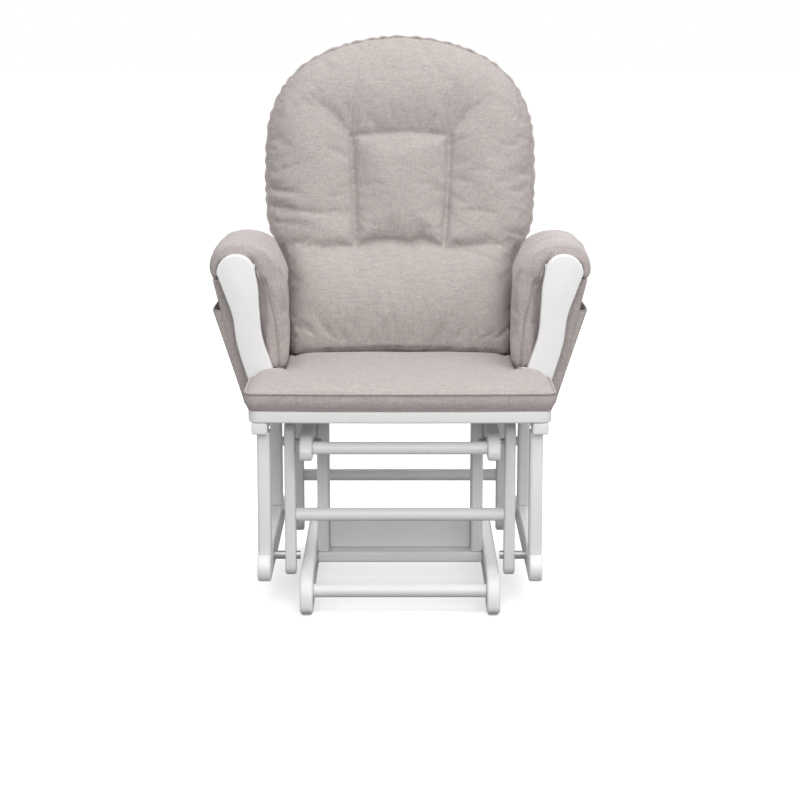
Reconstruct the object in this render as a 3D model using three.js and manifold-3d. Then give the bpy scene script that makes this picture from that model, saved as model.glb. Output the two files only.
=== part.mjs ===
// Glider nursery chair: a padded seat hung from a floor base by four swinging links.
// Millimetres, +Z up. The sitter faces -Y. "left" is the -X side and "right" the +X side.
// While it is being built, y is measured back from the front face of the seat frame.
// At the end the whole chair is moved so that its origin is the bottom centre of its box.

import * as THREE from 'three';
import { mergeVertices } from 'three/addons/utils/BufferGeometryUtils.js';
import Module from 'manifold-3d';

const wasm = await Module();
wasm.setup();

// ---- driving dimensions ----
const FIT = 0.3; // gap left between pieces that touch
const CENTRE_Y = 317.5; // middle of the chair's depth, measured back from the seat frame

// glide mechanism
const PIVOT_Z = 310; // height of the upper link pivots
const LINK_REACH = 220; // upper pivot to lower pivot
const FRONT_PIVOT_Y = 120;
const REAR_PIVOT_Y = 450;
const MID_Y = (FRONT_PIVOT_Y + REAR_PIVOT_Y) / 2;
const LINK_INNER = 196; // |x| of a link's inner face
const LINK_THICK = 20;
const LINK_WIDTH = 42;
const LINK_PAST_PIVOT = 37;
const LINK_DOWEL_DROP = 141; // upper pivot to the dowel that joins two links
const BOLT_R = 5;
const HOLE_R = 5.4;
const NUT_R = 8;
const BOLT_HEAD_R = 9;

// base
const BASE_INNER = 161; // |x| of the base rails' inner faces
const BASE_THICK = 24;
const FOOT_RAIL_HALF = 275;
const FOOT_RAIL_TOP = 74;
const GLIDE_HEIGHT = 6;
const GLIDE_LENGTH = 46;
const UPPER_RAIL_HALF = 250;
const UPPER_RAIL_HEIGHT = 46;
const UPRIGHT_THICK = 22;
const UPRIGHT_WIDTH = 90;
const SILL_LOW = 42;
const SILL_TOP = 62;
const DOWEL_R = 12.5;

// side frames under the seat, which hang from the links
const HANGER_INNER = 238;
const HANGER_THICK = 24;
const LOWER_RAIL_HEIGHT = 50;
const POST_DEPTH = 40;
const COLLAR_LOW = 345;

// seat frame
const SEAT_HALF = 276;
const SEAT_LOW = 367;
const SEAT_TOP = 390;
const SEAT_BOARD = 62; // width of the boards round the seat
const SEAT_FRONT_RAIL = 52;
const SEAT_REAR_Y = 466;
const SEAT_CORNER_R = 24;

// back, drawn in its own leaning plane
const BACK_LEAN = THREE.MathUtils.degToRad(13);
const BACK_FOOT_Y = 486; // y of the back's middle plane at the seat's top
const HOOP_HALF = 248;
const HOOP_FACE = 38;
const HOOP_THICK = 24;
const HOOP_FOOT = -36; // the legs pass behind the seat's rear rail and end clear of the rear links
const HOOP_SPRING = 430; // where the arch starts
const HOOP_RISE = 210;
const SLAT_WIDTH = 34;
const ARCH_SLACK = 1.5; // room between a slat's top and the arch's facets

// arms
const ARM_FRONT_Y = 170;
const ARM_POST_THICK = 22;
const ARM_LOW = 612;
const ARM_TOP = 634;
const ARM_INNER = 272;
const ARM_OUTER = 342;
const PAD_REAR_Y = 440;
const PAD_TOP = 670;

// cushions
const CUSHION_FRONT_HALF = 281;
const CUSHION_REAR_HALF = 222;
const CUSHION_TOP = 430;
const BACK_CUSHION_HALF = 272;
const BACK_CUSHION_TOP = 666;

// ---- materials ----
const FINISHES = {
  paint: { color: 0xe9e7e6, roughness: 0.42, metalness: 0 },
  steel: { color: 0xb9bbbe, roughness: 0.28, metalness: 1 },
  fabric: { color: 0xbfb6b0, roughness: 0.95, metalness: 0 },
  glide: { color: 0xd9d8d4, roughness: 0.6, metalness: 0 },
};

const chair = new THREE.Group();

function add(name, geometry, finish) {
  const mesh = new THREE.Mesh(geometry, new THREE.MeshStandardMaterial(FINISHES[finish]));
  mesh.name = name;
  chair.add(mesh);
  return mesh;
}

// ---- geometry helpers ----
const X = new THREE.Vector3(1, 0, 0);
const Y = new THREE.Vector3(0, 1, 0);
const Z = new THREE.Vector3(0, 0, 1);
const SIDES = [['left', -1], ['right', 1]];

// Extrudes an outline to an exact thickness, with its edges eased.
function slab(shape, thickness, edge = 2.5, curveSegments = 4) {
  const geometry = new THREE.ExtrudeGeometry(shape, {
    depth: thickness - 2 * edge,
    bevelThickness: edge,
    bevelSize: edge,
    bevelOffset: -edge,
    bevelSegments: 1,
    curveSegments,
  });
  return geometry.translate(0, 0, edge);
}

// An outline in (y, z), as thick as the slab along x, from x = low.
function sideBoard(shape, thickness, low, edge, curveSegments) {
  const turn = new THREE.Matrix4().makeBasis(Y, Z, X);
  return slab(shape, thickness, edge, curveSegments).applyMatrix4(turn).translate(low, 0, 0);
}

// An outline in (x, z), as thick as the slab along y, from y = low.
function frontBoard(shape, thickness, low, edge, curveSegments) {
  const turn = new THREE.Matrix4().makeBasis(X, Z, Y.clone().negate());
  return slab(shape, thickness, edge, curveSegments).applyMatrix4(turn).translate(0, low + thickness, 0);
}

// An outline in (x, y), as thick as the slab along z, from z = low.
function planBoard(shape, thickness, low, edge, curveSegments) {
  return slab(shape, thickness, edge, curveSegments).translate(0, 0, low);
}

// The lowest x of a piece that lies between |x| = inner and inner + thickness.
function lowX(side, inner, thickness) {
  return side > 0 ? inner : -inner - thickness;
}

function roundedRect(a0, b0, a1, b1, r) {
  const shape = new THREE.Shape();
  shape.moveTo(a0 + r, b0);
  shape.lineTo(a1 - r, b0);
  shape.absarc(a1 - r, b0 + r, r, -Math.PI / 2, 0, false);
  shape.lineTo(a1, b1 - r);
  shape.absarc(a1 - r, b1 - r, r, 0, Math.PI / 2, false);
  shape.lineTo(a0 + r, b1);
  shape.absarc(a0 + r, b1 - r, r, Math.PI / 2, Math.PI, false);
  shape.lineTo(a0, b0 + r);
  shape.absarc(a0 + r, b0 + r, r, Math.PI, Math.PI * 1.5, false);
  return shape;
}

function roundHole(a, b) {
  const hole = new THREE.Path();
  hole.absarc(a, b, HOLE_R, 0, Math.PI * 2, true);
  return hole;
}

function vectors(pairs) {
  return pairs.map(([a, b]) => new THREE.Vector2(a, b));
}

// A round bar along x.
function crossDowel(radius, halfLength, y, z) {
  const geometry = new THREE.CylinderGeometry(radius, radius, 2 * halfLength, 16);
  return geometry.rotateZ(-Math.PI / 2).translate(0, y, z);
}

// A turned piece along x, from a list of [|x|, radius] steps, inner end first.
function turnedPin(steps, side, y, z) {
  const profile = vectors([[0, steps[0][0]], ...steps.map(([x, r]) => [r, x]), [0, steps.at(-1)[0]]]);
  const geometry = new THREE.LatheGeometry(profile, 10);
  return geometry.rotateZ(-Math.PI / 2 * side).translate(0, y, z);
}

function toManifold(geometry) {
  const bare = geometry.clone();
  bare.deleteAttribute('normal');
  bare.deleteAttribute('uv');
  const merged = mergeVertices(bare, 1e-3);
  return new wasm.Manifold(new wasm.Mesh({
    numProp: 3,
    vertProperties: new Float32Array(merged.attributes.position.array),
    triVerts: new Uint32Array(merged.index.array),
  }));
}

function fromManifold(solid) {
  const mesh = solid.getMesh();
  const geometry = new THREE.BufferGeometry();
  geometry.setAttribute('position', new THREE.BufferAttribute(mesh.vertProperties, 3));
  geometry.setIndex(new THREE.BufferAttribute(mesh.triVerts, 1));
  return geometry.toNonIndexed();
}

// ---- base ----
function footRail() {
  const front = MID_Y - FOOT_RAIL_HALF;
  const rear = MID_Y + FOOT_RAIL_HALF;
  const low = GLIDE_HEIGHT + FIT;
  const arch = 16; // how far the underside rises between the feet
  const foot = 72; // length of each foot
  const nose = 46;
  const shape = new THREE.Shape();
  shape.moveTo(front + 12, low);
  shape.lineTo(front + foot, low);
  shape.lineTo(front + foot + 24, low + arch);
  shape.lineTo(rear - foot - 24, low + arch);
  shape.lineTo(rear - foot, low);
  shape.lineTo(rear - 12, low);
  shape.quadraticCurveTo(rear, low, rear, low + 14);
  shape.bezierCurveTo(rear, low + 52, rear - 14, FOOT_RAIL_TOP, rear - nose, FOOT_RAIL_TOP);
  shape.lineTo(front + nose, FOOT_RAIL_TOP);
  shape.bezierCurveTo(front + 14, FOOT_RAIL_TOP, front, low + 52, front, low + 14);
  shape.quadraticCurveTo(front, low, front + 12, low);
  return shape;
}

function baseUpperRail() {
  const front = MID_Y - UPPER_RAIL_HALF;
  const rear = MID_Y + UPPER_RAIL_HALF;
  const low = PIVOT_Z - UPPER_RAIL_HEIGHT / 2;
  const top = PIVOT_Z + UPPER_RAIL_HEIGHT / 2;
  const nose = 52;
  const shape = new THREE.Shape();
  shape.moveTo(front + 20, low);
  shape.lineTo(rear - 20, low);
  shape.quadraticCurveTo(rear, low, rear, low + 20);
  shape.quadraticCurveTo(rear - 6, top, rear - nose, top);
  shape.lineTo(front + nose, top);
  shape.quadraticCurveTo(front + 6, top, front, low + 20);
  shape.quadraticCurveTo(front, low, front + 20, low);
  shape.holes.push(roundHole(FRONT_PIVOT_Y, PIVOT_Z), roundHole(REAR_PIVOT_Y, PIVOT_Z));
  return shape;
}

function buildBase() {
  const uprightLow = MID_Y - UPRIGHT_WIDTH / 2;
  const uprightHigh = MID_Y + UPRIGHT_WIDTH / 2;
  const span = BASE_INNER - FIT;
  for (const [label, side] of SIDES) {
    const railX = lowX(side, BASE_INNER, BASE_THICK);
    add(`foot_rail_${label}`, sideBoard(footRail(), BASE_THICK, railX), 'paint');
    add(`base_upper_rail_${label}`, sideBoard(baseUpperRail(), BASE_THICK, railX), 'paint');
    const upright = roundedRect(uprightLow, SILL_TOP + FIT, uprightHigh, PIVOT_Z + 16, 4);
    const uprightX = lowX(side, span - UPRIGHT_THICK, UPRIGHT_THICK);
    add(`base_upright_${label}`, sideBoard(upright, UPRIGHT_THICK, uprightX, 2.5, 2), 'paint');
    for (const [end, way] of [['front', -1], ['rear', 1]]) {
      const pivotY = end === 'front' ? FRONT_PIVOT_Y : REAR_PIVOT_Y;
      const bolt = [
        [BASE_INNER - 14, BOLT_R - 0.6], [BASE_INNER - 8, BOLT_R - 0.6],
        [BASE_INNER - 8, NUT_R], [BASE_INNER - FIT, NUT_R],
        [BASE_INNER - FIT, BOLT_R], [LINK_INNER + LINK_THICK + FIT, BOLT_R],
        [LINK_INNER + LINK_THICK + FIT, BOLT_HEAD_R], [LINK_INNER + LINK_THICK + 3, BOLT_HEAD_R],
        [LINK_INNER + LINK_THICK + 5, BOLT_HEAD_R - 3],
      ];
      add(`${end}_upper_bolt_${label}`, turnedPin(bolt, side, pivotY, PIVOT_Z), 'steel');
      const glideY = MID_Y + way * (FOOT_RAIL_HALF - 14 - GLIDE_LENGTH / 2);
      const half = GLIDE_LENGTH / 2;
      const glide = roundedRect(-BASE_THICK / 2 + 2, glideY - half, BASE_THICK / 2 - 2, glideY + half, 8);
      const glideMesh = planBoard(glide, GLIDE_HEIGHT, 0, 1, 3);
      glideMesh.translate(side * (BASE_INNER + BASE_THICK / 2), 0, 0);
      add(`${end}_glide_${label}`, glideMesh, 'glide');
    }
  }
  for (const [end, way] of [['front', -1], ['rear', 1]]) {
    const footY = MID_Y + way * (FOOT_RAIL_HALF - 34);
    const noseY = MID_Y + way * (UPPER_RAIL_HALF - 27);
    add(`${end}_foot_dowel`, crossDowel(DOWEL_R, span, footY, 42), 'paint');
    add(`${end}_upper_dowel`, crossDowel(DOWEL_R - 0.5, span, noseY, PIVOT_Z - 1), 'paint');
  }
  const sill = roundedRect(-span, uprightLow, span, uprightHigh, 3);
  add('base_sill', planBoard(sill, SILL_TOP - SILL_LOW, SILL_LOW, 2.5, 2), 'paint');
  const between = span - UPRIGHT_THICK - FIT;
  const cross = roundedRect(-between, SILL_TOP + FIT, between, SILL_TOP + 70, 3);
  add('base_crossboard', frontBoard(cross, 20, MID_Y - 10, 2.5, 2), 'paint');
}

// ---- links ----
function linkOutline(pivotY) {
  const low = PIVOT_Z - LINK_REACH - LINK_PAST_PIVOT;
  const top = PIVOT_Z + LINK_PAST_PIVOT;
  const half = LINK_WIDTH / 2;
  const shape = roundedRect(pivotY - half, low, pivotY + half, top, half - 0.5);
  shape.holes.push(roundHole(pivotY, PIVOT_Z), roundHole(pivotY, PIVOT_Z - LINK_REACH));
  return shape;
}

function buildLinks() {
  for (const [end, pivotY] of [['front', FRONT_PIVOT_Y], ['rear', REAR_PIVOT_Y]]) {
    for (const [label, side] of SIDES) {
      const low = lowX(side, LINK_INNER, LINK_THICK);
      add(`${end}_link_${label}`, sideBoard(linkOutline(pivotY), LINK_THICK, low, 2.5, 5), 'paint');
    }
    const dowel = crossDowel(DOWEL_R, LINK_INNER - FIT, pivotY, PIVOT_Z - LINK_DOWEL_DROP);
    add(`${end}_link_dowel`, dowel, 'paint');
  }
}

// ---- side frames under the seat ----
function buildHangers() {
  const lowerZ = PIVOT_Z - LINK_REACH;
  const railLow = lowerZ - LOWER_RAIL_HEIGHT / 2;
  const railTop = lowerZ + LOWER_RAIL_HEIGHT / 2;
  const outer = HANGER_INNER + HANGER_THICK;
  for (const [label, side] of SIDES) {
    const lower = roundedRect(5, railLow, 515, railTop, LOWER_RAIL_HEIGHT / 2 - 1);
    lower.holes.push(roundHole(FRONT_PIVOT_Y, lowerZ), roundHole(REAR_PIVOT_Y, lowerZ));
    const hangerX = lowX(side, HANGER_INNER, HANGER_THICK);
    add(`seat_lower_rail_${label}`, sideBoard(lower, HANGER_THICK, hangerX), 'paint');
    const upper = roundedRect(8, COLLAR_LOW, SEAT_REAR_Y - 6, SEAT_LOW - FIT, 3);
    const upperX = lowX(side, HANGER_INNER + 3, 29);
    add(`seat_upper_rail_${label}`, sideBoard(upper, 29, upperX, 2.5, 2), 'paint');
    for (const [end, y, pivotY] of [['front', 30, FRONT_PIVOT_Y], ['rear', 405, REAR_PIVOT_Y]]) {
      const plan = roundedRect(hangerX, y, hangerX + HANGER_THICK, y + POST_DEPTH, 6);
      const length = COLLAR_LOW - railTop - 2 * FIT;
      add(`${end}_post_${label}`, planBoard(plan, length, railTop + FIT, 1, 3), 'paint');
      const bolt = [
        [LINK_INNER - 8, NUT_R], [LINK_INNER - FIT, NUT_R],
        [LINK_INNER - FIT, BOLT_R], [LINK_INNER + LINK_THICK + FIT, BOLT_R],
        [LINK_INNER + LINK_THICK + FIT, NUT_R], [HANGER_INNER - FIT, NUT_R],
        [HANGER_INNER - FIT, BOLT_R], [outer + FIT, BOLT_R],
        [outer + FIT, BOLT_HEAD_R], [outer + 3, BOLT_HEAD_R], [outer + 5, BOLT_HEAD_R - 3],
      ];
      add(`${end}_lower_bolt_${label}`, turnedPin(bolt, side, pivotY, lowerZ), 'steel');
    }
  }
}

// ---- seat frame ----
function seatEndBoard(y0, y1, bow) {
  // y0 is the outer edge, which bows out in the middle; y1 is the inner edge
  const way = Math.sign(y1 - y0);
  const r = SEAT_CORNER_R;
  const shape = new THREE.Shape();
  shape.moveTo(-SEAT_HALF, y1);
  shape.lineTo(-SEAT_HALF, y0 + way * (r + bow));
  shape.quadraticCurveTo(-SEAT_HALF, y0 + way * bow, -SEAT_HALF + r, y0 + way * bow);
  shape.quadraticCurveTo(0, y0 - way * bow, SEAT_HALF - r, y0 + way * bow);
  shape.quadraticCurveTo(SEAT_HALF, y0 + way * bow, SEAT_HALF, y0 + way * (r + bow));
  shape.lineTo(SEAT_HALF, y1);
  shape.closePath();
  return shape;
}

function buildSeatFrame() {
  const thick = SEAT_TOP - SEAT_LOW;
  add('seat_front_rail', planBoard(seatEndBoard(0, SEAT_FRONT_RAIL, 5), thick, SEAT_LOW), 'paint');
  const rearInner = SEAT_REAR_Y - SEAT_FRONT_RAIL;
  add('seat_rear_rail', planBoard(seatEndBoard(SEAT_REAR_Y, rearInner, 0), thick, SEAT_LOW), 'paint');
  for (const [label, side] of SIDES) {
    const low = lowX(side, SEAT_HALF - SEAT_BOARD, SEAT_BOARD);
    const plan = roundedRect(low, SEAT_FRONT_RAIL + FIT, low + SEAT_BOARD, rearInner - FIT, 1);
    add(`seat_side_board_${label}`, planBoard(plan, thick, SEAT_LOW, 0.9, 2), 'paint');
  }
  const half = SEAT_HALF - SEAT_BOARD - FIT;
  ['front', 'rear'].forEach((place, i) => {
    const y = SEAT_FRONT_RAIL + 40 + i * 165;
    const slat = roundedRect(-half, y, half, y + 115, 3);
    add(`seat_slat_${place}`, planBoard(slat, 12, SEAT_TOP - 14, 2, 2), 'paint');
  });
}

// ---- back ----
// Pieces of the back are drawn in (x, s), s running up the leaning plane from the seat's top,
// and are thick along n, which points backwards.
function leanBack(geometry) {
  const up = new THREE.Vector3(0, Math.sin(BACK_LEAN), Math.cos(BACK_LEAN));
  const back = new THREE.Vector3(0, Math.cos(BACK_LEAN), -Math.sin(BACK_LEAN));
  const turn = new THREE.Matrix4().makeBasis(X, up, back.clone().negate());
  return geometry.applyMatrix4(turn).translate(0, BACK_FOOT_Y, SEAT_TOP);
}

// A board of the back, from n = low to n = low + thickness.
function backBoard(shape, thickness, low, edge, curveSegments) {
  return leanBack(slab(shape, thickness, edge, curveSegments).translate(0, 0, -low - thickness));
}

function archInside(x) {
  const a = HOOP_HALF - HOOP_FACE;
  return HOOP_SPRING + (HOOP_RISE - HOOP_FACE) * Math.sqrt(1 - (x / a) ** 2);
}

function hoopOutline() {
  const inner = HOOP_HALF - HOOP_FACE;
  const shape = new THREE.Shape();
  shape.moveTo(HOOP_HALF, HOOP_FOOT);
  shape.lineTo(HOOP_HALF, HOOP_SPRING);
  shape.absellipse(0, HOOP_SPRING, HOOP_HALF, HOOP_RISE, 0, Math.PI, false);
  shape.lineTo(-HOOP_HALF, HOOP_FOOT);
  shape.lineTo(-inner, HOOP_FOOT);
  shape.lineTo(-inner, HOOP_SPRING);
  shape.absellipse(0, HOOP_SPRING, inner, HOOP_RISE - HOOP_FACE, Math.PI, 0, true);
  shape.lineTo(inner, HOOP_FOOT);
  shape.closePath();
  return shape;
}

function buildBack() {
  add('back_hoop', backBoard(hoopOutline(), HOOP_THICK, -HOOP_THICK / 2, 3, 12), 'paint');
  const half = HOOP_HALF - HOOP_FACE - FIT;
  const railTop = 112;
  const rail = roundedRect(-half, 62, half, railTop, 3);
  add('back_lower_rail', backBoard(rail, 20, -10, 2.5, 2), 'paint');
  for (const [label, side] of SIDES) {
    [['inner', 46], ['outer', 134]].forEach(([place, centre]) => {
      const x0 = side * centre - SLAT_WIDTH / 2;
      const x1 = side * centre + SLAT_WIDTH / 2;
      const shape = new THREE.Shape();
      shape.moveTo(x0, railTop + FIT);
      shape.lineTo(x1, railTop + FIT);
      for (const x of [x1, side * centre, x0]) shape.lineTo(x, archInside(x) - ARCH_SLACK);
      shape.closePath();
      add(`back_slat_${place}_${label}`, backBoard(shape, 12, -6, 2, 2), 'paint');
    });
  }
}

// ---- arms ----
function armPostOutline(side) {
  const headX = (ARM_INNER + ARM_OUTER) / 2;
  const headR = 36;
  const headZ = 617.5;
  const outer = [[291, 430], [307, 486], [314, 536], [329, 580], [headX + headR, headZ]];
  const inner = [[266, 588], [264, 548], [259, 497], [243, 447], [224, SEAT_TOP + FIT]];
  const mirror = ([a, b]) => new THREE.Vector2(side * a, b);
  const shape = new THREE.Shape();
  shape.moveTo(side * 277, SEAT_TOP + FIT);
  shape.splineThru(outer.map(mirror));
  if (side > 0) shape.absarc(headX, headZ, headR, 0, Math.PI, false);
  else shape.absarc(-headX, headZ, headR, Math.PI, 0, true);
  shape.splineThru(inner.map(mirror));
  shape.closePath();
  return shape;
}

function armrestOutline(side) {
  const start = ARM_FRONT_Y + ARM_POST_THICK + FIT;
  const hoopX = HOOP_HALF + 0.4;
  const end = 566;
  const shape = new THREE.Shape();
  shape.moveTo(side * ARM_INNER, start);
  shape.lineTo(side * ARM_INNER, PAD_REAR_Y);
  shape.bezierCurveTo(side * ARM_INNER, 485, side * hoopX, 480, side * hoopX, 522);
  shape.lineTo(side * hoopX, end);
  shape.quadraticCurveTo(side * (hoopX + 40), end, side * (hoopX + 56), 528);
  shape.bezierCurveTo(side * 322, 492, side * ARM_OUTER, 480, side * ARM_OUTER, PAD_REAR_Y - 20);
  shape.lineTo(side * ARM_OUTER, start);
  shape.closePath();
  return shape;
}

function armPadOutline(side) {
  const gap = 1.5; // slack round the armrest
  const mirror = ([a, b]) => new THREE.Vector2(side * a, b);
  const shape = new THREE.Shape();
  shape.moveTo(side * 228, 440);
  shape.splineThru([[225, 520], [227, 600], [240, 646], [272, 667], [300, PAD_TOP],
    [330, 667], [351, 652], [358.5, 630], [353, 602]].map(mirror));
  for (const [a, b] of [
    [ARM_OUTER + gap, 602], [ARM_OUTER + gap, ARM_TOP + gap],
    [ARM_INNER - gap, ARM_TOP + gap], [ARM_INNER - gap, 590],
    [264, 500], [252, 440],
  ]) shape.lineTo(side * a, b);
  shape.closePath();
  return shape;
}

// The outer side of an arm cover: a hanging panel with a pocket that stands away at the top.
function pocketSolid(side, y0, y1) {
  const panelTop = [346, 598];
  const hem = [290, 366];
  const mouth = 544;
  const bottom = 424;
  const sheet = 4;
  const onPanel = (z) => panelTop[0] + (z - panelTop[1]) * (panelTop[0] - hem[0]) / (panelTop[1] - hem[1]);
  const onPocket = (z) => 350 + (z - mouth) * (350 - 291) / (mouth - hem[1]);
  const mirror = (pairs) => new THREE.Shape(vectors(pairs.map(([a, b]) => [side * a, b])));
  const sides = mirror([
    [onPanel(panelTop[1]) - sheet, panelTop[1]], panelTop,
    [onPanel(bottom), bottom], [onPocket(bottom) - sheet + 1.5, bottom],
    [onPocket(mouth) - sheet, mouth], [onPocket(mouth), mouth],
    [onPocket(hem[1]) + 1, hem[1]], [onPanel(hem[1]) - sheet, hem[1]],
  ]);
  const gusset = mirror([
    [onPanel(mouth - 4) - 1, mouth - 4], [onPocket(mouth - 4) - 1, mouth - 4],
    [onPocket(bottom) - 1, bottom - 2], [onPanel(bottom) - 1, bottom - 2],
  ]);
  const endPanel = mirror([
    [onPanel(panelTop[1]) - 1, panelTop[1]], [onPanel(hem[1]) - 1, hem[1]],
    [SEAT_HALF + 3, hem[1]], [SEAT_HALF + 3, 430], [onPanel(panelTop[1]) - 42, panelTop[1]],
  ]);
  const plain = (shape, thickness, low) => toManifold(frontBoard(shape, thickness, low, 0.5, 2));
  return fromManifold(
    plain(sides, y1 - y0, y0)
      .add(plain(gusset, sheet, y0))
      .add(plain(gusset, sheet, y1 - sheet))
      .add(plain(endPanel, sheet, y0)),
  );
}

function buildArms() {
  const padFront = ARM_FRONT_Y + ARM_POST_THICK + FIT;
  for (const [label, side] of SIDES) {
    const post = frontBoard(armPostOutline(side), ARM_POST_THICK, ARM_FRONT_Y, 3, 3);
    add(`arm_post_${label}`, post, 'paint');
    const rest = planBoard(armrestOutline(side), ARM_TOP - ARM_LOW, ARM_LOW, 2.5, 5);
    add(`armrest_${label}`, rest, 'paint');
    const pad = frontBoard(armPadOutline(side), PAD_REAR_Y - padFront, padFront, 3, 2);
    add(`arm_pad_${label}`, pad, 'fabric');
    add(`arm_pocket_${label}`, pocketSolid(side, padFront, PAD_REAR_Y), 'fabric');
  }
}

// ---- cushions ----
function seatCushionOutline() {
  const earRear = ARM_FRONT_Y - 3;
  const rear = 466;
  const r = 20;
  const shape = new THREE.Shape();
  shape.moveTo(0, -6);
  shape.quadraticCurveTo(CUSHION_FRONT_HALF * 0.6, -5, CUSHION_FRONT_HALF - r, -1);
  shape.quadraticCurveTo(CUSHION_FRONT_HALF, 0, CUSHION_FRONT_HALF, r);
  shape.lineTo(CUSHION_FRONT_HALF, earRear - r);
  shape.quadraticCurveTo(CUSHION_FRONT_HALF, earRear, CUSHION_FRONT_HALF - r, earRear);
  shape.lineTo(CUSHION_REAR_HALF, earRear);
  shape.lineTo(CUSHION_REAR_HALF, rear - r);
  shape.quadraticCurveTo(CUSHION_REAR_HALF, rear, CUSHION_REAR_HALF - r, rear);
  shape.lineTo(-CUSHION_REAR_HALF + r, rear);
  shape.quadraticCurveTo(-CUSHION_REAR_HALF, rear, -CUSHION_REAR_HALF, rear - r);
  shape.lineTo(-CUSHION_REAR_HALF, earRear);
  shape.lineTo(-CUSHION_FRONT_HALF + r, earRear);
  shape.quadraticCurveTo(-CUSHION_FRONT_HALF, earRear, -CUSHION_FRONT_HALF, earRear - r);
  shape.lineTo(-CUSHION_FRONT_HALF, r);
  shape.quadraticCurveTo(-CUSHION_FRONT_HALF, 0, -CUSHION_FRONT_HALF + r, -1);
  shape.quadraticCurveTo(-CUSHION_FRONT_HALF * 0.6, -5, 0, -6);
  return shape;
}

// The back cushion is its front outline and its side profile, both run through it.
function backCushionSolid() {
  const edge = [[CUSHION_REAR_HALF, 12], [CUSHION_REAR_HALF, 268], [262, 300], [270, 350],
    [BACK_CUSHION_HALF, 410], [262, 496], [233, 572], [168, 630], [86, 659], [0, BACK_CUSHION_TOP]];
  const outline = new THREE.Shape();
  outline.moveTo(...edge[0]);
  outline.lineTo(...edge[1]);
  outline.splineThru(vectors(edge.slice(2)));
  outline.splineThru(vectors(edge.slice(2, -1).reverse().map(([a, b]) => [-a, b])));
  outline.lineTo(-edge[1][0], edge[1][1]);
  outline.lineTo(-edge[0][0], edge[0][1]);
  outline.closePath();
  const deep = 150;
  const face = slab(outline, deep, 1, 2).translate(0, 0, HOOP_THICK / 2 + FIT);
  // (m, s): m is how far in front of the hoop's middle plane
  const rearFace = HOOP_THICK / 2 + 2 * FIT;
  const profile = new THREE.Shape();
  profile.moveTo(rearFace, 44);
  profile.lineTo(rearFace, 620);
  profile.splineThru(vectors([[30, 654], [56, 664], [80, 648], [97, 600], [104, 520],
    [102, 420], [104, 330], [126, 240], [140, 150], [138, 70], [126, 17]]));
  profile.closePath();
  const wide = 2 * BACK_CUSHION_HALF + 20;
  const turn = new THREE.Matrix4().makeBasis(Z, Y, X.clone().negate());
  const side = slab(profile, wide, 1, 2).translate(0, 0, -wide / 2).applyMatrix4(turn);
  return leanBack(fromManifold(toManifold(face).intersect(toManifold(side))));
}

function buildCushions() {
  const seatLow = SEAT_TOP + FIT;
  add('seat_cushion', planBoard(seatCushionOutline(), CUSHION_TOP - seatLow, seatLow, 6, 3), 'fabric');
  add('back_cushion', backCushionSolid(), 'fabric');
}

buildBase();
buildLinks();
buildHangers();
buildSeatFrame();
buildBack();
buildArms();
buildCushions();

chair.position.y = -CENTRE_Y;

export default chair;
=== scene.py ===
import math

import bpy
import bmesh
import numpy as np
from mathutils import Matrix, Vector


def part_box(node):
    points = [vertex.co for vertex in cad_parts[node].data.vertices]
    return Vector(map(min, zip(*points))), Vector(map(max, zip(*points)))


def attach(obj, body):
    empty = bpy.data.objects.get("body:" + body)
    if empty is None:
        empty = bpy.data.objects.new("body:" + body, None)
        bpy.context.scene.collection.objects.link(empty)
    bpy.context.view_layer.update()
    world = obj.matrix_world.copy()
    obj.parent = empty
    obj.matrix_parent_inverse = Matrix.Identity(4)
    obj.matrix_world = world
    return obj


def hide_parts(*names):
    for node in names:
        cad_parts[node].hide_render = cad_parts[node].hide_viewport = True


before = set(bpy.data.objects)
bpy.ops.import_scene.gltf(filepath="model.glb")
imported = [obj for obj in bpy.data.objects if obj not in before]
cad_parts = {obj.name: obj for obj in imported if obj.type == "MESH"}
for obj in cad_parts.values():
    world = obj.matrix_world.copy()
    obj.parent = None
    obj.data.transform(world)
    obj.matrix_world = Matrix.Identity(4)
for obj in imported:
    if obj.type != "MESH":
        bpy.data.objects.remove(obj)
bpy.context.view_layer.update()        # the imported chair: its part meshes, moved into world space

scene = bpy.context.scene

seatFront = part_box("seat_front_rail")[0].y      # front face of the seat frame
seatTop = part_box("seat_front_rail")[1].z        # top of the seat frame
armPost = {side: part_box("arm_post_" + side) for side in ("left", "right")}
sides = (("left", -1), ("right", 1))


def behind(distance):    # y at a distance behind the seat frame's front face
    return seatFront + distance


def newPiece(name, verts, faces, smooth=True):
    mesh = bpy.data.meshes.new(name)
    mesh.from_pydata([tuple(v) for v in verts], [], [tuple(f) for f in faces])
    mesh.validate()
    mesh.polygons.foreach_set("use_smooth", [smooth] * len(mesh.polygons))
    piece = bpy.data.objects.new(name, mesh)
    scene.collection.objects.link(piece)
    return piece


def outward(piece):      # makes every face point out
    bm = bmesh.new()
    bm.from_mesh(piece.data)
    bmesh.ops.recalc_face_normals(bm, faces=bm.faces)
    bm.to_mesh(piece.data)
    bm.free()
    return piece


def applyModifiers(piece):
    graph = bpy.context.evaluated_depsgraph_get()
    baked = bpy.data.meshes.new_from_object(piece.evaluated_get(graph))
    piece.modifiers.clear()
    piece.data = baked
    return piece


def addPiece(piece, body, material, slot, *nodes):
    piece.data.materials.clear()
    piece.data.materials.append(material)
    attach(piece, body)
    if nodes:
        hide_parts(*nodes)
    return piece


def smoothstep(value):
    t = np.clip(value, 0, 1)
    return t * t * (3 - 2 * t)


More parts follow.
